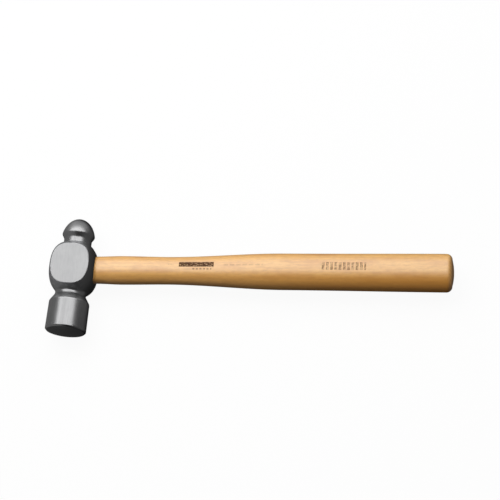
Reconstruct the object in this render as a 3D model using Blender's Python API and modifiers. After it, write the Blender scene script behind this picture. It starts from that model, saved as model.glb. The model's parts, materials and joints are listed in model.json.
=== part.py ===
"""Ball peen hammer: a one-piece steel head, a wooden handle, and the three wedges that hold the head on.

The hammer lies on its cheek. +X runs along the handle, from the eye to the butt. +Y runs along the head, from
the striking face to the ball. +Z is up. The origin is on the lower cheek flat, straight below the centre of
the eye, where the axes of the head and of the handle cross. All sizes are in metres.
"""

import math

import bmesh
import bpy
from mathutils import Vector

CLEARANCE = 0.0003  # between pieces that touch
HANG_ANGLE = math.radians(2.8)  # the ball leans this far towards the handle, out of square

# Cheeks: the swell round the eye, with a flat ground on each side
CHEEK_THICKNESS = 0.0430  # flat to flat
CHEEK_WIDTH = 0.0470  # along the handle
CHEEK_LENGTH = 0.0570  # along the head
CHEEK_FULLNESS = 0.0606  # height of the swell before the flats are ground
CHEEK_OFFSET = 0.0004  # the swell stands this much towards the ball
CHEEK_POWER = 2.65  # squareness of the swell in plan and in cross section
CHEEK_FALL_POWER = 2.18  # squareness of the swell seen along the handle

# Poll: the round striking end
POLL_DIAMETER = 0.0414
POLL_TAPER = 0.0006  # how much less the diameter is at the shoulder
POLL_LENGTH = 0.0300
POLL_CHAMFER = 0.0013
FACE_CROWN = 0.0008  # how far the crowned face stands out of its rim
FACE_FLAT_DIAMETER = 0.0080
SHOULDER_LENGTH = 0.0070
POLL_NECK_DIAMETER = 0.0312
POLL_NECK_START = 0.0004  # beyond the end of the swell, where the shoulder begins
POLL_NECK_FILLET = 0.0015
SHOULDER_FILLET = 0.0022

# Ball: a dome a little taller than a half sphere, on a conical underside
BALL_DIAMETER = 0.0334
BALL_HEIGHT = 0.0178
BALL_CENTRE_DROP = 0.0057  # the dome's ellipse has its centre this far below the rim
BALL_UNDERSIDE_LENGTH = 0.0073
BALL_NECK_DIAMETER = 0.0272
BALL_NECK_START = 0.0003
BALL_NECK_FILLET = 0.0020
BALL_RIM_FILLET = 0.0010

# Eye: an oval hole, narrowest inside
EYE_MOUTH_LENGTH = 0.0276
EYE_MOUTH_WIDTH = 0.0200
EYE_WAIST_STATION = 0.0060
EYE_WAIST_LENGTH = 0.0264
EYE_WAIST_WIDTH = 0.0186
EYE_FLARE_LENGTH = 0.0288
EYE_FLARE_WIDTH = 0.0214
OVAL_POWER = 2.2  # squareness of the eye and of the handle's cross sections

# Handle
HANDLE_REACH = 0.3828  # centre of the eye to the butt
TENON_RECESS = 0.0019  # how far inside the far side of the head the tenon ends
SHOULDER_RISE = 0.0002  # how much the handle stands out all round where it meets the head
NECK_DEPTH = 0.0293
NECK_THICKNESS = 0.0216
WAIST_DEPTH = 0.0282
WAIST_THICKNESS = 0.0206
GRIP_DEPTH = 0.0370
GRIP_THICKNESS = 0.0275
BUTT_DEPTH = 0.0387
BUTT_THICKNESS = 0.0288
BUTT_ROUND = 0.0060  # corner radius of the butt
BUTT_DOME = 0.0016
NECK_STATION = 0.050  # distances from the centre of the eye
WAIST_STATION = 0.097
GRIP_STATION = 0.215

# Wedges
WOOD_WEDGE_LENGTH = 0.0220
WOOD_WEDGE_THICK_END = 0.0042
WOOD_WEDGE_THIN_END = 0.0012
KERF_SPARE_DEPTH = 0.0020  # the saw kerf goes this much deeper than its wedge
STEEL_WEDGE_LENGTH = 0.0130
STEEL_WEDGE_WIDTH = 0.0125
STEEL_WEDGE_THICK_END = 0.0026
STEEL_WEDGE_THIN_END = 0.0008
STEEL_WEDGE_BARBS = 3
STEEL_WEDGE_BARB_STEP = 0.0003
STEEL_WEDGE_SPACING = 0.0130

TURNED_STEPS = 56
SWELL_SIDES = 56
SWELL_RINGS = 26
OVAL_SIDES = 44
EYE_STEPS = 24
ARC_STEPS = 3

AXIS_HEIGHT = CHEEK_THICKNESS / 2
SWELL_LOW = CHEEK_OFFSET - CHEEK_LENGTH / 2
SWELL_HIGH = CHEEK_OFFSET + CHEEK_LENGTH / 2
HEAD_SIDE = CHEEK_WIDTH / 2
TENON_END = TENON_RECESS - HEAD_SIDE
WOOD_WEDGE_WIDTH = EYE_WAIST_LENGTH - 4 * CLEARANCE


def clear_scene():
    for item in list(bpy.data.objects):
        bpy.data.objects.remove(item)


def new_collection(name):
    collection = bpy.data.collections.new(name)
    bpy.context.scene.collection.children.link(collection)
    return collection


def material(name, colour, roughness, metallic):
    made = bpy.data.materials.new(name)
    made.use_nodes = True
    shader = made.node_tree.nodes["Principled BSDF"]
    shader.inputs["Base Color"].default_value = (*colour, 1)
    shader.inputs["Roughness"].default_value = roughness
    shader.inputs["Metallic"].default_value = metallic
    return made


def add_object(name, data, collection, finish=None):
    made = bpy.data.objects.new(name, data)
    collection.objects.link(made)
    if finish:
        data.materials.append(finish)
    return made


def mesh_from(name, bm):
    bmesh.ops.recalc_face_normals(bm, faces=bm.faces)
    mesh = bpy.data.meshes.new(name)
    bm.to_mesh(mesh)
    bm.free()
    return mesh


def as_cutter(helper):
    helper.hide_render = True
    helper.display_type = "WIRE"
    return helper


def add_boolean(target, other, operation):
    modifier = target.modifiers.new(other.name, "BOOLEAN")
    modifier.operation = operation
    modifier.solver = "EXACT"
    modifier.object = other


def shade_round(mesh, angle=35):
    mesh.shade_smooth()
    mesh.set_sharp_from_angle(angle=math.radians(angle))


def loft(name, rings):
    """A closed mesh through rings of equally many points, capped at both ends."""
    bm = bmesh.new()
    made = [[bm.verts.new(point) for point in ring] for ring in rings]
    for lower, upper in zip(made, made[1:]):
        for i in range(len(lower)):
            j = (i + 1) % len(lower)
            bm.faces.new((lower[i], lower[j], upper[j], upper[i]))
    bm.faces.new(made[0])
    bm.faces.new(made[-1])
    return mesh_from(name, bm)


def superellipse(half_a, half_b, power, sides):
    """Points round a superellipse, evenly spread in angle."""
    points = []
    for i in range(sides):
        angle = math.tau * i / sides
        a, b = math.cos(angle), math.sin(angle)
        reach = (abs(a / half_a) ** power + abs(b / half_b) ** power) ** (-1 / power)
        points.append((a * reach, b * reach))
    return points


def oval_ring(x, depth, thickness):
    """A ring of the eye or the handle: depth along Y, thickness along Z."""
    outline = superellipse(depth / 2, thickness / 2, OVAL_POWER, OVAL_SIDES)
    return [Vector((x, y, AXIS_HEIGHT + z)) for y, z in outline]


def smooth_step(t):
    t = min(1, max(0, t))
    return t * t * (3 - 2 * t)


def between(stations, x):
    """The values at x, eased from one station to the next. A station is (x, value, value, ...)."""
    if x <= stations[0][0]:
        return stations[0][1:]
    for low, high in zip(stations, stations[1:]):
        if x <= high[0]:
            share = smooth_step((x - low[0]) / (high[0] - low[0]))
            return tuple(a + (b - a) * share for a, b in zip(low[1:], high[1:]))
    return stations[-1][1:]


def rounded(corners):
    """The profile through (radius, height, fillet) corners, each fillet drawn as a short arc."""
    profile = []
    for i, (r, y, fillet) in enumerate(corners):
        corner = Vector((r, y))
        if not fillet:
            profile.append(corner)
            continue
        back = (Vector(corners[i - 1][:2]) - corner).normalized()
        ahead = (Vector(corners[i + 1][:2]) - corner).normalized()
        half = back.angle(ahead) / 2
        centre = corner + (back + ahead).normalized() * fillet / math.sin(half)
        start = corner + back * fillet / math.tan(half) - centre
        end = corner + ahead * fillet / math.tan(half) - centre
        for step in range(ARC_STEPS + 1):
            spoke = start.normalized().slerp(end.normalized(), step / ARC_STEPS)
            profile.append(centre + spoke * fillet)
    return profile


def dome_profile(rim_height, steps=11):
    """The ball from its tip down to its rim: part of an ellipse with its centre below the rim."""
    semi_height = BALL_HEIGHT + BALL_CENTRE_DROP
    rim_angle = math.asin(BALL_CENTRE_DROP / semi_height)
    semi_width = BALL_DIAMETER / 2 / math.cos(rim_angle)
    points = []
    for i in range(steps):
        angle = math.pi / 2 + (rim_angle - math.pi / 2) * i / steps
        height = rim_height - BALL_CENTRE_DROP + semi_height * math.sin(angle)
        points.append(Vector((semi_width * math.cos(angle), height)))
    points[0].x = 0
    return points


def face_profile(rim_radius, rim_height, steps=4):
    """The crowned face from its rim to the flat at its middle."""
    flat_radius = FACE_FLAT_DIAMETER / 2
    points = []
    for i in range(steps + 1):
        share = i / steps
        radius = rim_radius + (flat_radius - rim_radius) * share
        points.append(Vector((radius, rim_height - FACE_CROWN * (1 - (1 - share) ** 2))))
    points.append(Vector((0, rim_height - FACE_CROWN)))
    return points


def head_profile():
    """Half outline of the turned parts of the head, from the tip of the ball to the middle of the face."""
    ball_neck = SWELL_HIGH + BALL_NECK_START
    ball_rim = ball_neck + BALL_UNDERSIDE_LENGTH
    poll_neck = SWELL_LOW - POLL_NECK_START
    poll_shoulder = poll_neck - SHOULDER_LENGTH
    face_rim = poll_shoulder - POLL_LENGTH
    poll_radius = POLL_DIAMETER / 2
    corners = [
        (BALL_DIAMETER / 2, ball_rim, BALL_RIM_FILLET),
        (BALL_NECK_DIAMETER / 2, ball_neck, BALL_NECK_FILLET),
        (BALL_NECK_DIAMETER / 2, ball_neck - BALL_UNDERSIDE_LENGTH, 0),
        (POLL_NECK_DIAMETER / 2, poll_neck + SHOULDER_LENGTH, 0),
        (POLL_NECK_DIAMETER / 2, poll_neck, POLL_NECK_FILLET),
        (poll_radius - POLL_TAPER / 2, poll_shoulder, SHOULDER_FILLET),
        (poll_radius, face_rim + POLL_CHAMFER, 0),
    ]
    dome = dome_profile(ball_rim)
    inner = rounded([(*dome[-1], 0), *corners])[1:]
    return dome + inner + face_profile(poll_radius - POLL_CHAMFER, face_rim)


def make_turned(collection, finish):
    profile = head_profile()
    bm = bmesh.new()
    made = [bm.verts.new((point.x, 0, point.y)) for point in profile]
    for upper, lower in zip(made, made[1:]):
        bm.edges.new((upper, lower))
    mesh = bpy.data.meshes.new("head")
    bm.to_mesh(mesh)
    bm.free()
    head = add_object("head", mesh, collection, finish)
    head.location = (0, 0, AXIS_HEIGHT)
    head.rotation_euler = (-math.pi / 2, 0, -HANG_ANGLE)
    screw = head.modifiers.new("turn", "SCREW")
    screw.steps = TURNED_STEPS
    screw.render_steps = TURNED_STEPS
    screw.use_merge_vertices = True
    screw.merge_threshold = 0.00001
    screw.use_smooth_shade = True
    return head


def make_swell(collection):
    """The cheeks: superellipse rings across the head, fading to nothing inside the two necks."""
    rings = []
    for i in range(1, SWELL_RINGS):
        along = -math.cos(math.pi * i / SWELL_RINGS)
        wide = (1 - abs(along) ** CHEEK_POWER) ** (1 / CHEEK_POWER)
        high = (1 - abs(along) ** CHEEK_FALL_POWER) ** (1 / CHEEK_FALL_POWER)
        outline = superellipse(
            CHEEK_WIDTH / 2 * wide, CHEEK_FULLNESS / 2 * high, CHEEK_POWER, SWELL_SIDES
        )
        y = CHEEK_OFFSET + CHEEK_LENGTH / 2 * along
        rings.append([Vector((x, y, AXIS_HEIGHT + z)) for x, z in outline])
    swell = as_cutter(add_object("cheek_swell", loft("cheek_swell", rings), collection))
    swell.rotation_euler.z = -HANG_ANGLE
    slab = make_block("cheek_slab", collection, (CHEEK_WIDTH * 2, CHEEK_LENGTH * 2, CHEEK_THICKNESS))
    slab.location = (0, 0, AXIS_HEIGHT)
    add_boolean(swell, slab, "INTERSECT")
    return swell


def make_block(name, collection, size):
    bm = bmesh.new()
    bmesh.ops.create_cube(bm, size=1)
    bmesh.ops.scale(bm, vec=size, verts=bm.verts)
    return as_cutter(add_object(name, mesh_from(name, bm), collection))


def eye_stations():
    """(x, length, width) of the eye from the far side to the handle's side, past both faces."""
    return [
        (-HEAD_SIDE, EYE_FLARE_LENGTH, EYE_FLARE_WIDTH),
        (EYE_WAIST_STATION, EYE_WAIST_LENGTH, EYE_WAIST_WIDTH),
        (HEAD_SIDE, EYE_MOUTH_LENGTH, EYE_MOUTH_WIDTH),
    ]


def eye_rings(start, end, inset):
    """Rings of the eye, an inset smaller all round. They fall at the same places whatever the start and end."""
    step = 3 * HEAD_SIDE / EYE_STEPS
    places = [step * (i - EYE_STEPS / 2) for i in range(EYE_STEPS + 1)]
    inner = [x for x in places if start < x < end]
    rings = []
    for x in (start, *inner, end):
        length, width = between(eye_stations(), x)
        rings.append(oval_ring(x, length - 2 * inset, width - 2 * inset))
    return rings


def make_eye(collection):
    rings = eye_rings(-1.5 * HEAD_SIDE, 1.5 * HEAD_SIDE, 0)
    return as_cutter(add_object("eye", loft("eye", rings), collection))


def make_head(parts, cutters, finish):
    head = make_turned(parts, finish)
    add_boolean(head, make_swell(cutters), "UNION")
    add_boolean(head, make_eye(cutters), "DIFFERENCE")
    return head


def handle_stations():
    """(x, depth, thickness) along the part of the handle outside the head."""
    mouth_depth = EYE_MOUTH_LENGTH + 2 * SHOULDER_RISE
    mouth_thickness = EYE_MOUTH_WIDTH + 2 * SHOULDER_RISE
    return [
        (HEAD_SIDE + 2 * SHOULDER_RISE + CLEARANCE, mouth_depth, mouth_thickness),
        (NECK_STATION, NECK_DEPTH, NECK_THICKNESS),
        (WAIST_STATION, WAIST_DEPTH, WAIST_THICKNESS),
        (GRIP_STATION, GRIP_DEPTH, GRIP_THICKNESS),
        (HANDLE_REACH - BUTT_DOME, BUTT_DEPTH, BUTT_THICKNESS),
    ]


def butt_rings(steps=5):
    """The rounded corner and the shallow dome of the butt."""
    depth, thickness = BUTT_DEPTH, BUTT_THICKNESS
    corner_x = HANDLE_REACH - BUTT_DOME - BUTT_ROUND
    rings = []
    for i in range(1, steps + 1):
        angle = math.pi / 2 * i / steps
        inward = 2 * BUTT_ROUND * (1 - math.cos(angle))
        x = corner_x + BUTT_ROUND * math.sin(angle)
        rings.append(oval_ring(x, depth - inward, thickness - inward))
    inner_depth = depth - 2 * BUTT_ROUND
    inner_thickness = thickness - 2 * BUTT_ROUND
    for share in (0.66, 0.33):
        x = HANDLE_REACH - BUTT_DOME * share**2
        rings.append(oval_ring(x, inner_depth * share, inner_thickness * share))
    return rings


def make_handle(parts, cutters, finish, steps=28):
    stations = handle_stations()
    start = stations[0][0]
    end = HANDLE_REACH - BUTT_DOME - BUTT_ROUND
    rings = eye_rings(TENON_END, HEAD_SIDE + CLEARANCE, CLEARANCE)
    for i in range(steps + 1):
        x = start + (end - start) * i / steps
        rings.append(oval_ring(x, *between(stations, x)))
    mesh = loft("handle", rings + butt_rings())
    shade_round(mesh, 50)
    handle = add_object("handle", mesh, parts, finish)
    add_boolean(handle, make_kerf(cutters), "DIFFERENCE")
    return handle


def wedge_mesh(name, length, width, thick_end, thin_end):
    """A wedge that points along +X from its thick end at x = 0: width along Y, thickness along Z."""
    bm = bmesh.new()
    bmesh.ops.create_cube(bm, size=1)
    for vert in bm.verts:
        thickness = thin_end if vert.co.x > 0 else thick_end
        vert.co = ((vert.co.x + 0.5) * length, vert.co.y * width, vert.co.z * thickness)
    return mesh_from(name, bm)


def wedge_thickness(x, length, thick_end, thin_end):
    """Thickness of a wedge at a distance x from its thick end, also past its ends."""
    return thick_end + (thin_end - thick_end) * x / length


def wedge_cutter(name, collection, length, width, thick_end, thin_end, spare_depth):
    """The slot that a wedge sits in: a clearance wider all round, and open past the end of the tenon."""
    before, after = -length / 4, length + spare_depth
    slot = wedge_mesh(
        name,
        after - before,
        width,
        wedge_thickness(before, length, thick_end, thin_end) + 2 * CLEARANCE,
        wedge_thickness(after, length, thick_end, thin_end) + 2 * CLEARANCE,
    )
    cutter = as_cutter(add_object(name, slot, collection))
    cutter.location = (TENON_END + before, 0, AXIS_HEIGHT)
    return cutter


def make_kerf(cutters):
    """The saw kerf, right across the tenon along the head."""
    return wedge_cutter(
        "kerf",
        cutters,
        WOOD_WEDGE_LENGTH,
        2 * EYE_FLARE_LENGTH,
        WOOD_WEDGE_THICK_END,
        WOOD_WEDGE_THIN_END,
        KERF_SPARE_DEPTH,
    )


def make_wood_wedge(parts, finish):
    mesh = wedge_mesh(
        "wood_wedge",
        WOOD_WEDGE_LENGTH,
        WOOD_WEDGE_WIDTH,
        WOOD_WEDGE_THICK_END,
        WOOD_WEDGE_THIN_END,
    )
    wedge = add_object("wood_wedge", mesh, parts, finish)
    wedge.location = (TENON_END, 0, AXIS_HEIGHT)
    return wedge


def steel_wedge_outline():
    """Outline of a barbed wedge: every barb is a step that stops it from backing out."""
    barb_length = STEEL_WEDGE_LENGTH / STEEL_WEDGE_BARBS
    upper = []
    for i in range(STEEL_WEDGE_BARBS):
        start, end = i * barb_length, (i + 1) * barb_length
        for x, step in ((start, 0), (end, -STEEL_WEDGE_BARB_STEP)):
            thickness = wedge_thickness(
                x, STEEL_WEDGE_LENGTH, STEEL_WEDGE_THICK_END, STEEL_WEDGE_THIN_END
            )
            upper.append((x, thickness / 2 + step / 2))
    lower = [(x, -y) for x, y in reversed(upper)]
    return upper + lower


def make_steel_wedge(index, parts, cutters, finish):
    """A barbed wedge driven across the wooden one, and its slot. Its flat outline lies in the XY plane."""
    name = f"steel_wedge_{index}"
    outline = steel_wedge_outline()
    curve = bpy.data.curves.new(name, "CURVE")
    curve.dimensions = "2D"
    curve.fill_mode = "BOTH"
    curve.extrude = STEEL_WEDGE_WIDTH / 2
    spline = curve.splines.new("POLY")
    spline.points.add(len(outline) - 1)
    for point, (x, y) in zip(spline.points, outline):
        point.co = (x, y, 0, 1)
    spline.use_cyclic_u = True
    wedge = add_object(name, curve, parts, finish)
    side = (index - 1.5) * STEEL_WEDGE_SPACING
    wedge.location = (TENON_END, side, AXIS_HEIGHT)
    slot = wedge_cutter(
        f"{name}_slot",
        cutters,
        STEEL_WEDGE_LENGTH,
        STEEL_WEDGE_WIDTH + 2 * CLEARANCE,
        STEEL_WEDGE_THICK_END,
        STEEL_WEDGE_THIN_END,
        CLEARANCE,
    )
    slot.location.y = side
    slot.rotation_euler.x = math.pi / 2
    return slot


def main():
    clear_scene()
    parts = new_collection("ball_peen_hammer")
    cutters = new_collection("cutters")
    steel = material("forged_steel", (0.42, 0.43, 0.44), 0.38, 1.0)
    ash = material("handle_wood", (0.74, 0.50, 0.26), 0.42, 0.0)
    wedge_wood = material("wedge_wood", (0.55, 0.33, 0.16), 0.60, 0.0)
    wedge_steel = material("wedge_steel", (0.30, 0.30, 0.31), 0.45, 1.0)
    make_head(parts, cutters, steel)
    handle = make_handle(parts, cutters, ash)
    wood_wedge = make_wood_wedge(parts, wedge_wood)
    for index in (1, 2):
        slot = make_steel_wedge(index, parts, cutters, wedge_steel)
        add_boolean(handle, slot, "DIFFERENCE")
        add_boolean(wood_wedge, slot, "DIFFERENCE")


main()
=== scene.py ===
"""Looks of the ball peen hammer: fine meshes and materials, on a pale floor in soft light.

All sizes are in metres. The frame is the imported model's own: +X along the handle, +Y along the
head towards the ball, +Z up, and the hammer lies on its lower cheek at z = 0.
"""

import json
import math

import bpy
import numpy as np
from mathutils import Matrix, Vector


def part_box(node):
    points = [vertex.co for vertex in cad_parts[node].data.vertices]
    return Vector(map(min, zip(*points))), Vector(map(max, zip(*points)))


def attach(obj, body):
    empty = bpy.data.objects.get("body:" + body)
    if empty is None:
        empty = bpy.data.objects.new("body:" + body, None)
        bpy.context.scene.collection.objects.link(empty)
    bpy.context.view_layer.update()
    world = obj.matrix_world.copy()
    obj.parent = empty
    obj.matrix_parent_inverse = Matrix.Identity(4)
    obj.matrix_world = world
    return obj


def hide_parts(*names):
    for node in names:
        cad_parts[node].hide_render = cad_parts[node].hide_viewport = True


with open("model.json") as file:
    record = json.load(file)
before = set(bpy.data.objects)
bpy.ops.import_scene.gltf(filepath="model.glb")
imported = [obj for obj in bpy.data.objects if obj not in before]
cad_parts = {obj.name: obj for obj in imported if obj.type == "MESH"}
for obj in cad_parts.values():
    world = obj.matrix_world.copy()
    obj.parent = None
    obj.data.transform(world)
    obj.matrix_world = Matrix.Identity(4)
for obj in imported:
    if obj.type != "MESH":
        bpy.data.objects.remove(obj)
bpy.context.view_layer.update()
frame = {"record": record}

MM = 0.001
mounts = {mount["name"]: mount for mount in frame["record"]["mounts"]}
face_axis = Vector(mounts["striking_face"]["axis"])
face_centre = Vector(mounts["striking_face"]["pos_m"])
handle_low, handle_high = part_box("handle")
wood_wedge_low, wood_wedge_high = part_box("wood_wedge")

# The head's axis runs from the striking face to the ball, through the centre of the eye.
CHEEK_THICKNESS = mounts["upper_cheek"]["pos_m"][2]
AXIS_HEIGHT = CHEEK_THICKNESS / 2
HANG_ANGLE = math.atan2(-face_axis.x, -face_axis.y)
FACE_REACH = math.hypot(face_centre.x, face_centre.y)
HEAD_TURN = np.array(Matrix.Rotation(-HANG_ANGLE, 3, "Z"))

# Head, as stations along its axis
CHEEK_WIDTH = 47.0 * MM
CHEEK_LENGTH = 57.0 * MM
CHEEK_FULLNESS = 60.6 * MM
CHEEK_CENTRE = 0.4 * MM
CHEEK_POWER = 2.65
CHEEK_FALL_POWER = 2.18
CHEEK_EDGE_ROUND = 0.5 * MM
NECK_BLEND = 1.6 * MM
POLL_RADIUS = 20.7 * MM
POLL_TAPER = 0.3 * MM
POLL_NECK_RADIUS = 15.6 * MM
POLL_NECK_FILLET = 5.0 * MM
POLL_LENGTH = 30.0 * MM
SHOULDER_LENGTH = 7.6 * MM
SHOULDER_FILLET = 3.0 * MM
FACE_CROWN = 0.8 * MM
FACE_CHAMFER = 1.3 * MM
FACE_CHAMFER_FILLETS = (0.5 * MM, 0.6 * MM)
BALL_RADIUS = 16.7 * MM
BALL_HEIGHT = 17.8 * MM
BALL_CENTRE_DROP = 5.7 * MM
BALL_RIM_FILLET = 2.4 * MM
BALL_NECK_RADIUS = 14.1 * MM
BALL_NECK_FILLET = 5.0 * MM
BALL_UNDERSIDE_LENGTH = 4.4 * MM
BALL_NECK_START = 32.1 * MM
HEAD_SIDES = 288
HEAD_STEP = 0.36 * MM

# Eye, as (x, half length, half width) from the far side to the handle's side
EYE_STATIONS = [
    (-CHEEK_WIDTH / 2, 14.4 * MM, 10.7 * MM),
    (6.0 * MM, 13.2 * MM, 9.3 * MM),
    (CHEEK_WIDTH / 2, 13.8 * MM, 10.0 * MM),
]
EYE_RIM_ROUND = 0.9 * MM
OVAL_POWER = 2.2
TENON_GAP = 0.06 * MM
TENON_CHAMFER = 0.3 * MM
TENON_TO_GRIP = 0.6 * MM
WEDGE_GAP = 0.05 * MM

# Handle. Its stations outside the head are (x, half depth, half thickness).
BUTT_ROUND = 6.0 * MM
BUTT_DOME = 1.6 * MM
HANDLE_STATIONS = [
    (24.2 * MM, 14.0 * MM, 10.2 * MM),
    (50.0 * MM, 14.65 * MM, 10.8 * MM),
    (97.0 * MM, 14.1 * MM, 10.3 * MM),
    (215.0 * MM, 18.5 * MM, 13.75 * MM),
    (handle_high.x - BUTT_DOME, 19.35 * MM, 14.4 * MM),
]
HANDLE_SIDES = 128
HANDLE_STEP = 1.2 * MM

# Wedges, driven into the far end of the tenon
STEEL_WEDGE_LENGTH = 13.0 * MM
STEEL_WEDGE_WIDTH = 12.5 * MM
STEEL_WEDGE_THICK_END = 2.6 * MM
STEEL_WEDGE_THIN_END = 0.8 * MM
STEEL_WEDGE_BARBS = 3
STEEL_WEDGE_BARB_STEP = 0.3 * MM
STEEL_WEDGE_SPACING = 13.0 * MM
STEEL_WEDGE_BEVEL = 0.08 * MM
WOOD_WEDGE_THICK_END = 4.2 * MM
WOOD_WEDGE_THIN_END = 1.2 * MM
KERF_PAST_WEDGE = 2 * MM
SLOT_PAST_TENON = 2 * MM

# Where the steel's forged sides end, along the head's axis
FORGED_FROM = -24 * MM
FORGED_TO = 26 * MM
FORGED_FADE = 4 * MM

# Printed marks on the handle. The period and the gap, as a share of it, make a mark's dashes.
BAR = {"x_mm": (109.2, 144.6), "y_mm": (0.9, 6.0)}
TICKS = {"x_mm": (122.8, 142.4), "y_mm": (-2.2, -0.4), "period_mm": 3.6}
FAINT_TICKS = {"x_mm": (98.5, 103.5), "y_mm": (2.6, 4.2), "period_mm": 2.5}
FAINT_DASHES = {"x_mm": (153, 194), "y_mm": (2.0, 3.6), "period_mm": 6.4, "gap": 0.3}
HATCH = {"x_mm": (251.2, 296.5), "y_mm": (-2.2, 6.0), "period_mm": 4.2, "gap": 0.35}
PRINT_EDGE = 0.25 * MM

# Camera. Its direction from the target is a unit vector with these parts towards the butt and
# away from the ball. The roll is in radians.
CAMERA_TOWARDS_BUTT = 0.12187
CAMERA_FROM_BALL = 0.33874
CAMERA_ROLL = 0.05125
CAMERA_DISTANCE = 1.6
CAMERA_TARGET = (0.17883, 0.02292, AXIS_HEIGHT)
CAMERA_LENS_MM = 114.56
CAMERA_SENSOR_MM = 36

# Lights, as (place, target, (width, height), watts), and the stage
SOFTBOX = ((0.05, 0.637, 1.06), (0.05, 0, 0.02), (2.4, 1.325), 15.5)
KEY_LIGHT = ((-0.15, 0.30, 0.90), (0, 0, 0.02), (0.8, 0.6), 4.2)
FILL_LIGHT = ((0.15, -0.90, 0.50), (0.15, 0, 0.02), (1.6, 0.6), 0.5)
FLOOR_HALF_SIZE = 8.0
BACKDROP_RADIUS = 8.0
BACKDROP_HEIGHT = 6.0


# ---------------------------------------------------------------- shapes


def smooth_step(t):
    t = np.clip(t, 0, 1)
    return t * t * (3 - 2 * t)


def smooth_max(a, b, width):
    """The larger of the two, with the corner where they cross filled over this width."""
    blend = np.clip(width - np.abs(a - b), 0, None) / width
    return np.maximum(a, b) + blend**2 * width / 4


def smooth_min(a, b, width):
    return -smooth_max(-a, -b, width)


def between(stations, x):
    """The values at x, eased from one station to the next. A station is (x, value, value)."""
    if x <= stations[0][0]:
        return stations[0][1:]
    for low, high in zip(stations, stations[1:]):
        if x <= high[0]:
            share = smooth_step((x - low[0]) / (high[0] - low[0]))
            return tuple(a + (b - a) * share for a, b in zip(low[1:], high[1:]))
    return stations[-1][1:]


def superellipse_reach(angle, half_a, half_b, power):
    """Distance from the centre to a superellipse in the direction of the angle."""
    a, b = np.abs(np.cos(angle)), np.abs(np.sin(angle))
    return ((a / half_a) ** power + (b / half_b) ** power) ** (-1 / power)


def oval_ring(x, half_depth, half_thickness):
    """A ring of the eye or the handle: depth along Y, thickness along Z."""
    angle = np.arange(HANDLE_SIDES) * math.tau / HANDLE_SIDES
    reach = superellipse_reach(angle, half_depth, half_thickness, OVAL_POWER)
    y, z = reach * np.cos(angle), AXIS_HEIGHT + reach * np.sin(angle)
    return np.stack([np.full(HANDLE_SIDES, x), y, z], axis=1)


def rounded(corners, steps=8):
    """The profile through (radius, station, fillet) corners, each fillet drawn as an arc."""
    profile = []
    for i, (radius, station, fillet) in enumerate(corners):
        corner = Vector((radius, station))
        if not fillet:
            profile.append(corner)
            continue
        back = (Vector(corners[i - 1][:2]) - corner).normalized()
        ahead = (Vector(corners[i + 1][:2]) - corner).normalized()
        half = back.angle(ahead) / 2
        centre = corner + (back + ahead).normalized() * fillet / math.sin(half)
        start = corner + back * fillet / math.tan(half) - centre
        end = corner + ahead * fillet / math.tan(half) - centre
        for step in range(steps + 1):
            spoke = start.normalized().slerp(end.normalized(), step / steps)
            profile.append(centre + spoke * fillet)
    return profile


def resampled(profile, step):
    """The same line with points evenly spread along it, every step or a little less."""
    points = np.array([tuple(point) for point in profile])
    along = np.concatenate([[0], np.cumsum(np.linalg.norm(np.diff(points, axis=0), axis=1))])
    wanted = np.linspace(0, along[-1], math.ceil(along[-1] / step) + 1)
    return np.stack([np.interp(wanted, along, points[:, i]) for i in range(2)], axis=1)


def lofted(name, rings):
    """A closed mesh through rings of equally many points, with a fan over each end."""
    rings = np.asarray(rings)
    count, sides = rings.shape[:2]
    points = [tuple(rings[0].mean(axis=0))]
    points += map(tuple, rings.reshape(-1, 3))
    points.append(tuple(rings[-1].mean(axis=0)))
    faces = []
    for i in range(count - 1):
        low, high = 1 + i * sides, 1 + (i + 1) * sides
        for j in range(sides):
            k = (j + 1) % sides
            faces.append((low + j, low + k, high + k, high + j))
    last = len(points) - 1
    for j in range(sides):
        k = (j + 1) % sides
        faces.append((0, 1 + k, 1 + j))
        faces.append((last, last - sides + j, last - sides + k))
    mesh = bpy.data.meshes.new(name)
    mesh.from_pydata(points, [], faces)
    mesh.update()
    return mesh


def outward(mesh):
    """Turns the faces round if they point inwards."""
    corners = np.array([mesh.vertices[v].co for face in mesh.polygons for v in face.vertices[:3]])
    corners = corners.reshape(-1, 3, 3)
    if np.linalg.det(corners - corners.mean(axis=(0, 1))).sum() < 0:
        mesh.flip_normals()
    return mesh


def new_object(name, mesh):
    made = bpy.data.objects.new(name, mesh)
    bpy.context.scene.collection.objects.link(made)
    return made


def cut(target, *cutters):
    """Takes the cutters out of the target's mesh and removes them."""
    for cutter in cutters:
        modifier = target.modifiers.new(cutter.name, "BOOLEAN")
        modifier.operation = "DIFFERENCE"
        modifier.solver = "MANIFOLD"
        modifier.object = cutter
    graph = bpy.context.evaluated_depsgraph_get()
    mesh = bpy.data.meshes.new_from_object(target.evaluated_get(graph))
    target.modifiers.clear()
    target.data = mesh
    for cutter in cutters:
        bpy.data.objects.remove(cutter)


def finish_surface(piece, material, sharp_degrees):
    """Gives the piece its material and smooth shading, but for edges that turn more than this."""
    piece.data.materials.clear()
    piece.data.materials.append(material)
    piece.data.shade_smooth()
    piece.data.set_sharp_from_angle(angle=math.radians(sharp_degrees))


def stand_for(piece, node):
    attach(piece, "root")
    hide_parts(node)


# ---------------------------------------------------------------- head


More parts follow.
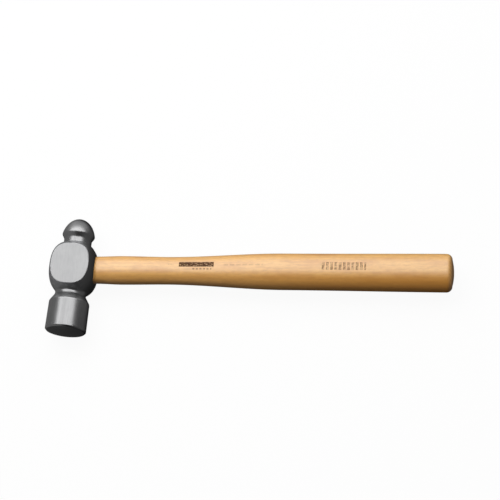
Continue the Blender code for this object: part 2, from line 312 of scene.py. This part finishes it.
def head_profile():
    """Half outline of the turned parts, as (radius, station), from the ball's tip to the face."""
    rim = BALL_NECK_START + BALL_UNDERSIDE_LENGTH
    semi_height = BALL_HEIGHT + BALL_CENTRE_DROP
    rim_angle = math.asin(BALL_CENTRE_DROP / semi_height)
    semi_width = BALL_RADIUS / math.cos(rim_angle)
    dome = []
    # The last few points are left out, to make room for the rim's fillet.
    for angle in np.linspace(math.pi / 2, rim_angle, 60)[:-3]:
        station = rim - BALL_CENTRE_DROP + semi_height * math.sin(angle)
        dome.append((semi_width * math.cos(angle), station, 0))
    face_rim = -(FACE_REACH - FACE_CROWN)
    shoulder = face_rim + POLL_LENGTH
    poll_neck = shoulder + SHOULDER_LENGTH
    # The step from one neck's radius to the other's lies inside the swell.
    corners = [
        (BALL_RADIUS, rim, BALL_RIM_FILLET),
        (BALL_NECK_RADIUS, BALL_NECK_START, BALL_NECK_FILLET),
        (BALL_NECK_RADIUS, 0, 0),
        (POLL_NECK_RADIUS, -1 * MM, 0),
        (POLL_NECK_RADIUS, poll_neck, POLL_NECK_FILLET),
        (POLL_RADIUS - POLL_TAPER, shoulder, SHOULDER_FILLET),
        (POLL_RADIUS, face_rim + FACE_CHAMFER, FACE_CHAMFER_FILLETS[0]),
        (POLL_RADIUS - FACE_CHAMFER, face_rim, FACE_CHAMFER_FILLETS[1]),
    ]
    crown_radius = POLL_RADIUS - FACE_CHAMFER
    crown = []
    for share in np.linspace(1, 0, 40)[1:]:
        crown.append((crown_radius * share, face_rim - FACE_CROWN * (1 - share**2), 0))
    return rounded(dome + corners + crown)


def swell_reach(station, angle):
    """How far the cheeks' swell reaches from the head's axis: next to nothing at its ends."""
    just_inside = 0.9999
    along = np.clip(np.abs(station - CHEEK_CENTRE) / (CHEEK_LENGTH / 2), 0, just_inside)
    wide = (1 - along**CHEEK_POWER) ** (1 / CHEEK_POWER)
    high = (1 - along**CHEEK_FALL_POWER) ** (1 / CHEEK_FALL_POWER)
    return superellipse_reach(angle, CHEEK_WIDTH / 2 * wide, CHEEK_FULLNESS / 2 * high, CHEEK_POWER)


def round_eye_rim(points):
    """Lowers the head's sides round the two mouths of the eye, so that their edges are rounded."""
    x, y, z = points.T
    far_mouth, near_mouth = EYE_STATIONS[0], EYE_STATIONS[-1]
    half_length = np.where(x < 0, far_mouth[1], near_mouth[1])
    half_width = np.where(x < 0, far_mouth[2], near_mouth[2])
    z = z - AXIS_HEIGHT
    from_centre = np.hypot(y, z)
    mouth_reach = superellipse_reach(np.arctan2(z, y), half_length, half_width, OVAL_POWER)
    outside = from_centre - mouth_reach
    near = np.clip(EYE_RIM_ROUND - outside, 0, EYE_RIM_ROUND)
    drop = EYE_RIM_ROUND - np.sqrt(EYE_RIM_ROUND**2 - near**2)
    on_side = smooth_step((np.abs(x) - CHEEK_WIDTH / 4) / (CHEEK_WIDTH / 8))
    points[:, 0] = x - np.sign(x) * drop * on_side


def eye_cutter():
    rings = []
    for x in np.linspace(-0.75 * CHEEK_WIDTH, 0.75 * CHEEK_WIDTH, 25):
        rings.append(oval_ring(x, *between(EYE_STATIONS, x)))
    return new_object("eye", outward(lofted("eye", rings)))


def make_head(material):
    profile = resampled(head_profile(), HEAD_STEP)[1:-1]
    angle = (np.arange(HEAD_SIDES) + 0.5) * math.tau / HEAD_SIDES
    radius, station = profile[:, :1], profile[:, 1:]
    swell = swell_reach(station, angle[None, :])
    inside_swell = np.abs(station - CHEEK_CENTRE) < CHEEK_LENGTH / 2
    reach = np.where(inside_swell, smooth_max(radius, swell, NECK_BLEND), radius)
    reach = smooth_min(reach, AXIS_HEIGHT / np.abs(np.sin(angle))[None, :], CHEEK_EDGE_ROUND)
    x, z = reach * np.cos(angle), reach * np.sin(angle)
    y = np.broadcast_to(station, x.shape)
    rings = np.stack([x, y, z], axis=2) @ HEAD_TURN.T + np.array([0, 0, AXIS_HEIGHT])
    points = rings.reshape(-1, 3)
    round_eye_rim(points)
    mesh = lofted("hammer_head", points.reshape(rings.shape))
    head = new_object("hammer_head", outward(mesh))
    cut(head, eye_cutter())
    finish_surface(head, material, 40)
    stand_for(head, "head")


# ---------------------------------------------------------------- handle and wedges


def tenon_rings():
    """The part of the handle inside the eye, with its driven end slightly chamfered."""
    start, end = handle_low.x, HANDLE_STATIONS[0][0] - TENON_TO_GRIP
    rings = []
    for x in np.linspace(start, end, 40):
        half_length, half_width = between(EYE_STATIONS, x)
        inward = TENON_GAP + max(0, TENON_CHAMFER - (x - start))
        rings.append(oval_ring(x, half_length - inward, half_width - inward))
    return rings


def grip_rings():
    start, end = HANDLE_STATIONS[0][0], handle_high.x - BUTT_DOME - BUTT_ROUND
    rings = []
    for x in np.linspace(start, end, math.ceil((end - start) / HANDLE_STEP)):
        rings.append(oval_ring(x, *between(HANDLE_STATIONS, x)))
    return rings


def butt_rings():
    """The rounded corner and the shallow dome of the butt."""
    half_depth, half_thickness = HANDLE_STATIONS[-1][1:]
    dome_depth, dome_thickness = half_depth - BUTT_ROUND, half_thickness - BUTT_ROUND
    corner_x = handle_high.x - BUTT_DOME - BUTT_ROUND
    rings = []
    for angle in np.linspace(0, math.pi / 2, 14)[1:]:
        inward = BUTT_ROUND * (1 - math.cos(angle))
        x = corner_x + BUTT_ROUND * math.sin(angle)
        rings.append(oval_ring(x, half_depth - inward, half_thickness - inward))
    for share in np.linspace(1, 0, 12)[1:-1]:
        x = handle_high.x - BUTT_DOME * share**2
        rings.append(oval_ring(x, dome_depth * share, dome_thickness * share))
    return rings


def wedge_mesh(name, length, width, thick_end, thin_end):
    """A wedge pointing along +X, its thick end at x = 0: width along Y, thickness along Z."""
    corners = [(-1, -1), (1, -1), (1, 1), (-1, 1)]
    points = [(0, y * width / 2, z * thick_end / 2) for y, z in corners]
    points += [(length, y * width / 2, z * thin_end / 2) for y, z in corners]
    sides = [(i, (i + 1) % 4, (i + 1) % 4 + 4, i + 4) for i in range(4)]
    mesh = bpy.data.meshes.new(name)
    mesh.from_pydata(points, [], [(3, 2, 1, 0), (4, 5, 6, 7), *sides])
    return outward(mesh)


def slot_for(name, length, width, thick_end, thin_end, deeper):
    """The cutter for a wedge's slot: wider than the wedge all round, and open at the tenon's end.

    It goes deeper than the wedge by the given length.
    """
    taper = (thin_end - thick_end) / length
    mesh = wedge_mesh(
        name,
        length + deeper + SLOT_PAST_TENON,
        width + 2 * WEDGE_GAP,
        thick_end - taper * SLOT_PAST_TENON + 2 * WEDGE_GAP,
        thick_end + taper * (length + deeper) + 2 * WEDGE_GAP,
    )
    slot = new_object(name, mesh)
    slot.location = (handle_low.x - SLOT_PAST_TENON, 0, AXIS_HEIGHT)
    return slot


def steel_slot(index):
    slot = slot_for(
        f"steel_slot_{index}",
        STEEL_WEDGE_LENGTH,
        STEEL_WEDGE_WIDTH,
        STEEL_WEDGE_THICK_END,
        STEEL_WEDGE_THIN_END,
        deeper=0,
    )
    slot.location.y = (index - 1.5) * STEEL_WEDGE_SPACING
    slot.rotation_euler.x = math.pi / 2
    return slot


def make_handle(material):
    mesh = lofted("wooden_handle", tenon_rings() + grip_rings() + butt_rings())
    handle = new_object("wooden_handle", outward(mesh))
    right_through = 4 * HANDLE_STATIONS[0][1]
    kerf = slot_for(
        "kerf",
        wood_wedge_high.x - wood_wedge_low.x,
        right_through,
        WOOD_WEDGE_THICK_END,
        WOOD_WEDGE_THIN_END,
        deeper=KERF_PAST_WEDGE,
    )
    cut(handle, kerf, steel_slot(1), steel_slot(2))
    finish_surface(handle, material, 35)
    handle.visible_glossy = False  # keeps its brown out of the steel's reflections
    stand_for(handle, "handle")


def bevelled(piece, width):
    modifier = piece.modifiers.new("bevel", "BEVEL")
    modifier.width = width
    modifier.segments = 2
    modifier.harden_normals = True


def make_wood_wedge(material):
    width = wood_wedge_high.y - wood_wedge_low.y
    length = wood_wedge_high.x - wood_wedge_low.x
    mesh = wedge_mesh("wooden_wedge", length, width, WOOD_WEDGE_THICK_END, WOOD_WEDGE_THIN_END)
    wedge = new_object("wooden_wedge", mesh)
    wedge.location = (wood_wedge_low.x, 0, AXIS_HEIGHT)
    cut(wedge, steel_slot(1), steel_slot(2))
    finish_surface(wedge, material, 30)
    stand_for(wedge, "wood_wedge")


def barbed_outline():
    """Outline of a barbed wedge: at the end of every barb a step stops it from backing out."""
    barb_length = STEEL_WEDGE_LENGTH / STEEL_WEDGE_BARBS
    taper = (STEEL_WEDGE_THIN_END - STEEL_WEDGE_THICK_END) / STEEL_WEDGE_LENGTH
    upper = []
    for i in range(STEEL_WEDGE_BARBS):
        for x, step in ((i * barb_length, 0), ((i + 1) * barb_length, -STEEL_WEDGE_BARB_STEP)):
            upper.append((x, (STEEL_WEDGE_THICK_END + taper * x + step) / 2))
    return upper + [(x, -y) for x, y in reversed(upper)]


def make_steel_wedge(index, material):
    outline = barbed_outline()
    count = len(outline)
    half_width = STEEL_WEDGE_WIDTH / 2
    points = [(x, y, z) for z in (-half_width, half_width) for x, y in outline]
    sides = [(i, (i + 1) % count, (i + 1) % count + count, i + count) for i in range(count)]
    caps = [tuple(range(count)), tuple(range(2 * count - 1, count - 1, -1))]
    mesh = bpy.data.meshes.new(f"metal_wedge_{index}")
    mesh.from_pydata(points, [], sides + caps)
    wedge = new_object(f"metal_wedge_{index}", outward(mesh))
    low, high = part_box(f"steel_wedge_{index}")
    wedge.location = (low.x, (low.y + high.y) / 2, AXIS_HEIGHT)
    bevelled(wedge, STEEL_WEDGE_BEVEL)
    finish_surface(wedge, material, 30)
    stand_for(wedge, f"steel_wedge_{index}")


# ---------------------------------------------------------------- materials


class Shader:
    """A material's node tree, with short ways to add nodes.

    A value may be a number, a colour or a socket.
    """

    def __init__(self, name):
        self.material = bpy.data.materials.new(name)
        self.material.use_nodes = True
        self.tree = self.material.node_tree
        self.principled = self.tree.nodes["Principled BSDF"]
        self.place = self.add("ShaderNodeTexCoord").outputs["Object"]

    def add(self, kind, inputs=None, **settings):
        node = self.tree.nodes.new(kind)
        for key, value in settings.items():
            setattr(node, key, value)
        for key, value in (inputs or {}).items():
            self.connect(value, node.inputs[key])
        return node

    def connect(self, value, socket):
        if isinstance(value, bpy.types.NodeSocket):
            self.tree.links.new(value, socket)
        elif socket.type == "RGBA" and len(value) == 3:
            socket.default_value = (*value, 1)
        else:
            socket.default_value = value

    def surface(self, **inputs):
        for key, value in inputs.items():
            self.connect(value, self.principled.inputs[key.replace("_", " ")])

    def math(self, operation, a, b=0.0, c=0.0):
        return self.add("ShaderNodeMath", {0: a, 1: b, 2: c}, operation=operation).outputs[0]

    def ramp(self, value, low, high, out_low=0.0, out_high=1.0):
        """Eases value from low..high to out_low..out_high, and holds it beyond them."""
        node = self.add("ShaderNodeMapRange", interpolation_type="SMOOTHSTEP")
        for i, item in enumerate((value, low, high, out_low, out_high)):
            self.connect(item, node.inputs[i])
        return node.outputs[0]

    def stretched(self, scale, offset=(0, 0, 0)):
        """The object's coordinates times a scale along each axis, moved by the offset."""
        inputs = {"Vector": self.place, "Scale": scale, "Location": offset}
        return self.add("ShaderNodeMapping", inputs).outputs[0]

    def noise(self, vector, scale, detail, roughness=0.5):
        inputs = {"Vector": vector, "Scale": scale, "Detail": detail, "Roughness": roughness}
        return self.add("ShaderNodeTexNoise", inputs).outputs["Fac"]

    def axes(self, vector):
        return self.add("ShaderNodeSeparateXYZ", {"Vector": vector}).outputs

    def normal(self):
        return self.axes(self.add("ShaderNodeNewGeometry").outputs["Normal"])

    def mix(self, share, first, second):
        """The first colour, with the given share of it replaced by the second."""
        node = self.add("ShaderNodeMix", data_type="RGBA")
        self.connect(share, node.inputs["Factor"])
        for value, socket in ((first, node.inputs[6]), (second, node.inputs[7])):
            self.connect(value, socket)
        return node.outputs[2]

    def bump(self, height, distance, strength):
        inputs = {"Height": height, "Distance": distance, "Strength": strength}
        return self.add("ShaderNodeBump", inputs).outputs[0]


def steel_material():
    """Ground flats, polished ends and face, and forged sides, with painted shade darkening the sides next
    to the handle.
    """
    shader = Shader("forged_steel_look")
    normal = shader.normal()
    flat = shader.ramp(shader.math("ABSOLUTE", normal["Z"]), 0.990, 0.999)
    square = {"Vector": shader.place, "Rotation": (0, 0, HANG_ANGLE)}
    turned = shader.add("ShaderNodeMapping", square).outputs[0]
    head = shader.axes(turned)
    cheeks = inside(shader, head["Y"], FORGED_FROM, FORGED_TO, FORGED_FADE)
    sides = shader.math("MULTIPLY", cheeks, shader.math("SUBTRACT", 1.0, flat))
    # Painted shade: the forged sides turn darker towards the handle, in place of the dimmer light and
    # reflection next to it.
    painted_shade_by_handle = shader.math("MULTIPLY", sides, shader.ramp(head["X"], 8 * MM, 20 * MM))
    drawn_out = {0: turned, 1: (1500, 70, 1500)}
    streaks = shader.add("ShaderNodeVectorMath", drawn_out, operation="MULTIPLY").outputs[0]
    strokes = shader.noise(streaks, 1, 4, 0.6)
    grinding = shader.noise(shader.stretched((2200, 110, 2200)), 1, 4, 0.6)
    mottle = shader.noise(shader.place, 60, 4, 0.6)
    blotch = shader.noise(shader.place, 260, 3, 0.6)
    lines = shader.math("MULTIPLY_ADD", flat, shader.math("SUBTRACT", grinding, strokes), strokes)
    tone = shader.math("MULTIPLY_ADD", lines, 0.5, shader.math("MULTIPLY", mottle, 0.5))
    spread = shader.ramp(tone, 0.30, 0.70)
    ground = shader.mix(spread, (0.340, 0.342, 0.346), (0.42, 0.42, 0.423))
    polished = shader.mix(spread, (0.370, 0.373, 0.378), (0.49, 0.49, 0.493))
    scale = shader.mix(shader.ramp(blotch, 0.3, 0.7), (0.41, 0.414, 0.426), (0.57, 0.574, 0.586))
    # The forged colour, with the painted shade by the handle mixed in.
    forged = shader.mix(painted_shade_by_handle, scale, (0.25, 0.248, 0.248))
    colour = shader.mix(sides, shader.mix(flat, polished, ground), forged)
    smoother = shader.ramp(head["Y"], FACE_CROWN - FACE_REACH, 2 * MM - FACE_REACH, -0.10, 0.0)
    polish = shader.math("ADD", shader.ramp(mottle, 0.3, 0.7, 0.31, 0.35), smoother)
    roughness = shader.math("MULTIPLY_ADD", sides, 0.10, polish)
    height = shader.math("MULTIPLY_ADD", mottle, 0.6, shader.math("MULTIPLY", lines, 0.4))
    shader.surface(
        Base_Color=colour,
        Metallic=1.0,
        Roughness=roughness,
        Normal=shader.bump(height, 0.00002, 0.3),
    )
    return shader.material


def grain(shader, pith_y, pith_z, ring_width):
    """Growth rings round a pith beside the piece, warped a little, and fibres, streaks and pores.

    All of them run along X.
    """
    warp = shader.noise(shader.stretched((5, 40, 40)), 1, 3, 0.5)
    axes = shader.axes(shader.place)
    y = shader.math("SUBTRACT", axes["Y"], pith_y)
    z = shader.math("SUBTRACT", axes["Z"], pith_z)
    squares = shader.math("MULTIPLY_ADD", y, y, shader.math("MULTIPLY", z, z))
    bent = shader.math("MULTIPLY_ADD", warp, 3.0 * ring_width, shader.math("SQRT", squares))
    phase = shader.math("FRACT", shader.math("DIVIDE", bent, ring_width))
    late = shader.math("POWER", phase, 2.5)
    fibres = shader.noise(shader.stretched((30, 1500, 1500)), 1, 4, 0.65)
    streaks = shader.noise(shader.stretched((9, 160, 160)), 1, 4, 0.6)
    pores = shader.ramp(shader.noise(shader.stretched((70, 2600, 2600)), 1, 1, 0.4), 0.62, 0.72)
    return late, fibres, streaks, pores


def inside(shader, value, low, high, edge):
    """1 where value lies between low and high, fading over the edge."""
    rising = shader.ramp(value, low - edge, low + edge)
    falling = shader.ramp(value, high - edge, high + edge, 1.0, 0.0)
    return shader.math("MULTIPLY", rising, falling)


def printed(shader, x_mm, y_mm, period_mm=None, gap=0.4):
    """A plain printed patch, solid or broken into equal dashes."""
    axes = shader.axes(shader.place)
    patch = shader.math(
        "MULTIPLY",
        inside(shader, axes["X"], *[x * MM for x in x_mm], PRINT_EDGE),
        inside(shader, axes["Y"], *[y * MM for y in y_mm], PRINT_EDGE),
    )
    if period_mm:
        place = shader.math("FRACT", shader.math("DIVIDE", axes["X"], period_mm * MM))
        patch = shader.math("MULTIPLY", patch, inside(shader, place, gap / 2, 1 - gap / 2, 0.08))
    return patch


def handle_prints(shader):
    """Plain printed marks on the upper side: a bar, ticks, faint dashes and a hatch."""
    upper = shader.math("GREATER_THAN", shader.axes(shader.place)["Z"], AXIS_HEIGHT)
    worn = shader.ramp(shader.noise(shader.stretched((600, 800, 1)), 1, 3), 0.34, 0.52, 0.50, 0.97)
    patchy = shader.ramp(shader.noise(shader.stretched((420, 300, 1)), 1, 2), 0.40, 0.60, 0.35, 1.0)
    ink = printed(shader, **BAR)
    for strength, mark in (
        (0.60, printed(shader, **TICKS)),
        (0.22, printed(shader, **FAINT_TICKS)),
        (0.22, printed(shader, **FAINT_DASHES)),
        (0.75, shader.math("MULTIPLY", printed(shader, **HATCH), patchy)),
    ):
        ink = shader.math("MULTIPLY_ADD", mark, strength, ink)
    return shader.math("MULTIPLY", shader.math("MULTIPLY", ink, upper), worn)


def handle_material():
    """Pale ash under clear varnish with printed marks; painted shade makes one side browner, and the dark
    end grain reaches onto the butt's rounding as painted shade.
    """
    shader = Shader("handle_wood_look")
    late, fibres, streaks, pores = grain(shader, 55 * MM, -25 * MM, 2.6 * MM)
    patches = shader.noise(shader.stretched((26, 90, 90), (0.4, 0.1, 0)), 1, 3, 0.55)
    flecks = shader.noise(shader.stretched((150, 420, 420)), 1, 3, 0.6)
    ink = handle_prints(shader)
    colour = shader.mix(shader.ramp(late, 0.1, 0.95, 0.0, 0.45), (0.85, 0.460, 0.112), (0.70, 0.330, 0.066))
    colour = shader.mix(shader.ramp(streaks, 0.40, 0.68, 0.0, 0.42), colour, (0.64, 0.275, 0.050))
    colour = shader.mix(shader.ramp(patches, 0.45, 0.72, 0.0, 0.60), colour, (0.58, 0.240, 0.045))
    colour = shader.mix(shader.ramp(flecks, 0.42, 0.66, 0.0, 0.34), colour, (0.53, 0.230, 0.048))
    colour = shader.mix(shader.ramp(fibres, 0.30, 0.75, 0.0, 0.25), colour, (0.88, 0.540, 0.190))
    colour = shader.mix(shader.math("MULTIPLY", pores, 0.30), colour, (0.40, 0.185, 0.048))
    place = shader.axes(shader.place)
    # Painted shade: the handle's side towards the face (-Y) turns browner and darker, more so towards the
    # butt, in place of the shade on that side.
    towards_face_side = shader.ramp(place["Y"], -15 * MM, -1 * MM, 1.0, 0.0)
    painted_side_shade = shader.math("MULTIPLY", towards_face_side, shader.ramp(place["X"], 90 * MM, 360 * MM, 0.35, 0.75))
    colour = shader.mix(painted_side_shade, colour, (0.60, 0.225, 0.012))
    normal = shader.normal()
    # Real end grain darkens the ends. The ramp starts low enough to reach onto the butt's rounded corner,
    # and there it is painted shade.
    ends = shader.ramp(shader.math("ABSOLUTE", normal["X"]), 0.30, 0.90, 0.0, 0.80)
    end_grain_and_shade = shader.mix(shader.ramp(late, 0.1, 0.9), (0.60, 0.310, 0.085), (0.33, 0.140, 0.032))
    colour = shader.mix(ends, colour, end_grain_and_shade)
    colour = shader.mix(ink, colour, (0.055, 0.024, 0.014))
    height = shader.math("MULTIPLY_ADD", late, 0.3, shader.math("MULTIPLY_ADD", fibres, 0.4, pores))
    bare = shader.math("SUBTRACT", 1.0, ink)
    shader.surface(
        Base_Color=colour,
        Roughness=shader.ramp(fibres, 0.3, 0.7, 0.42, 0.50),
        Specular_IOR_Level=shader.math("MULTIPLY", bare, 0.5),
        Normal=shader.bump(height, 0.00004, 0.35),
        Coat_Weight=bare,
        Coat_Roughness=0.36,
        Coat_IOR=2.05,
    )
    return shader.material


def wedge_wood_material():
    shader = Shader("wedge_wood_look")
    late, fibres, streaks, pores = grain(shader, -30 * MM, 60 * MM, 1.6 * MM)
    colour = shader.mix(shader.ramp(late, 0.1, 0.95, 0.0, 0.6), (0.46, 0.26, 0.115), (0.30, 0.150, 0.060))
    colour = shader.mix(shader.ramp(streaks, 0.35, 0.70, 0.0, 0.4), colour, (0.36, 0.19, 0.080))
    colour = shader.mix(shader.math("MULTIPLY", pores, 0.6), colour, (0.12, 0.060, 0.025))
    height = shader.math("MULTIPLY_ADD", fibres, 0.5, pores)
    shader.surface(Base_Color=colour, Roughness=0.62, Normal=shader.bump(height, 0.00006, 0.5))
    return shader.material


def wedge_steel_material():
    shader = Shader("wedge_steel_look")
    scale = shader.noise(shader.place, 700, 5, 0.65)
    rust = shader.ramp(shader.noise(shader.place, 220, 4, 0.6), 0.56, 0.70, 0.0, 0.5)
    colour = shader.mix(shader.ramp(scale, 0.3, 0.7), (0.13, 0.13, 0.135), (0.27, 0.27, 0.275))
    colour = shader.mix(rust, colour, (0.16, 0.070, 0.030))
    shader.surface(
        Base_Color=colour,
        Metallic=shader.ramp(rust, 0.0, 0.5, 1.0, 0.4),
        Roughness=shader.ramp(scale, 0.3, 0.7, 0.38, 0.55),
        Normal=shader.bump(scale, 0.00004, 0.5),
    )
    return shader.material


# ---------------------------------------------------------------- studio


def stage_mesh(name, mesh, material):
    made = new_object(name, mesh)
    made.data.materials.append(material)
    made.visible_glossy = False
    made.visible_diffuse = False
    made.visible_transmission = False
    return made


def stage_material(name, colour, glow):
    """A matt surface that glows by this share, so that shadows on it stay faint."""
    made = bpy.data.materials.new(name)
    made.use_nodes = True
    nodes, links = made.node_tree.nodes, made.node_tree.links
    nodes.clear()
    diffuse = nodes.new("ShaderNodeBsdfDiffuse")
    diffuse.inputs["Color"].default_value = (*colour, 1)
    emission = nodes.new("ShaderNodeEmission")
    emission.inputs["Color"].default_value = (*colour, 1)
    mix = nodes.new("ShaderNodeMixShader")
    mix.inputs[0].default_value = glow
    output = nodes.new("ShaderNodeOutputMaterial")
    links.new(diffuse.outputs[0], mix.inputs[1])
    links.new(emission.outputs[0], mix.inputs[2])
    links.new(mix.outputs[0], output.inputs[0])
    return made


def make_floor():
    size = FLOOR_HALF_SIZE
    corners = [(-size, -size, 0), (size, -size, 0), (size, size, 0), (-size, size, 0)]
    mesh = bpy.data.meshes.new("floor")
    mesh.from_pydata(corners, [], [(0, 1, 2, 3)])
    stage_mesh("floor", mesh, stage_material("floor_paper", (0.995, 0.995, 0.995), 0.95))


def make_backdrop():
    """A wide pale wall all round, for views near the horizon. Only the camera sees it."""
    sides = 96
    angles = [math.tau * i / sides for i in range(sides)]
    ring = [(BACKDROP_RADIUS * math.cos(a), BACKDROP_RADIUS * math.sin(a)) for a in angles]
    points = [(x, y, z) for z in (-BACKDROP_HEIGHT, BACKDROP_HEIGHT) for x, y in ring]
    faces = [(i, (i + 1) % sides, (i + 1) % sides + sides, i + sides) for i in range(sides)]
    mesh = bpy.data.meshes.new("backdrop")
    mesh.from_pydata(points, [], faces)
    paper = stage_material("backdrop_paper", (0.985, 0.985, 0.985), 1.0)
    wall = stage_mesh("backdrop", mesh, paper)
    wall.visible_shadow = False


def area_light(name, place, target, size, power, reflected=True):
    data = bpy.data.lights.new(name, "AREA")
    data.shape = "RECTANGLE"
    data.size, data.size_y = size
    data.energy = power
    light = bpy.data.objects.new(name, data)
    bpy.context.scene.collection.objects.link(light)
    light.location = place
    light.rotation_euler = (Vector(target) - Vector(place)).to_track_quat("-Z", "Y").to_euler()
    light.visible_glossy = reflected


def make_world():
    """A dim room: light from both sides, dimmer below, and a paler wall behind the ball."""
    world = bpy.data.worlds.new("studio")
    world.use_nodes = True
    tree = world.node_tree
    direction = tree.nodes.new("ShaderNodeSeparateXYZ")
    tree.links.new(tree.nodes.new("ShaderNodeTexCoord").outputs["Generated"], direction.inputs[0])

    def ramp(axis, low, high, out_low, out_high):
        node = tree.nodes.new("ShaderNodeMapRange")
        node.interpolation_type = "SMOOTHSTEP"
        tree.links.new(direction.outputs[axis], node.inputs[0])
        for i, value in enumerate((low, high, out_low, out_high)):
            node.inputs[i + 1].default_value = value
        return node.outputs[0]

    def join(operation, a, b):
        node = tree.nodes.new("ShaderNodeMath")
        node.operation = operation
        tree.links.new(a, node.inputs[0])
        tree.links.new(b, node.inputs[1])
        return node.outputs[0]

    sides = join("ADD", ramp("X", -0.48, -0.02, 0.21, 0.02), ramp("X", 0.2, 0.8, 0.0, 0.09))
    ground = ramp("Z", -0.95, -0.55, 0.30, 1.0)
    wall = join("MULTIPLY", ramp("Y", 0.55, 0.95, 0.0, 0.42), ramp("Z", -0.5, 0.0, 0.0, 1.0))
    total = join("ADD", join("MULTIPLY", sides, ground), wall)
    tree.links.new(total, tree.nodes["Background"].inputs["Strength"])
    tree.nodes["Background"].inputs["Color"].default_value = (1, 1, 1, 1)
    bpy.context.scene.world = world


def make_camera():
    """Looks down on the upper cheek, from the face's side and a little from the butt's."""
    upwards = math.sqrt(1 - CAMERA_TOWARDS_BUTT**2 - CAMERA_FROM_BALL**2)
    back = Vector((CAMERA_TOWARDS_BUTT, -CAMERA_FROM_BALL, upwards))
    up = (Vector((0, 1, 0)) - back * back.y).normalized()
    right = up.cross(back)
    turned_right = right * math.cos(CAMERA_ROLL) + up * math.sin(CAMERA_ROLL)
    turned_up = up * math.cos(CAMERA_ROLL) - right * math.sin(CAMERA_ROLL)
    data = bpy.data.cameras.new("camera")
    data.sensor_width = CAMERA_SENSOR_MM
    data.lens = CAMERA_LENS_MM
    data.clip_end = 5 * BACKDROP_RADIUS
    camera = bpy.data.objects.new("camera", data)
    bpy.context.scene.collection.objects.link(camera)
    turn = Matrix((turned_right, turned_up, back)).transposed().to_4x4()
    place = Vector(CAMERA_TARGET) + back * CAMERA_DISTANCE
    camera.matrix_world = Matrix.Translation(place) @ turn
    bpy.context.scene.camera = camera


def main():
    make_head(steel_material())
    make_handle(handle_material())
    make_wood_wedge(wedge_wood_material())
    wedge_steel = wedge_steel_material()
    for index in (1, 2):
        make_steel_wedge(index, wedge_steel)
    make_floor()
    make_backdrop()
    make_world()
    area_light("softbox", *SOFTBOX)
    area_light("key", *KEY_LIGHT, reflected=False)
    area_light("fill", *FILL_LIGHT, reflected=False)
    make_camera()
    bpy.context.scene.view_settings.view_transform = "Standard"


main()
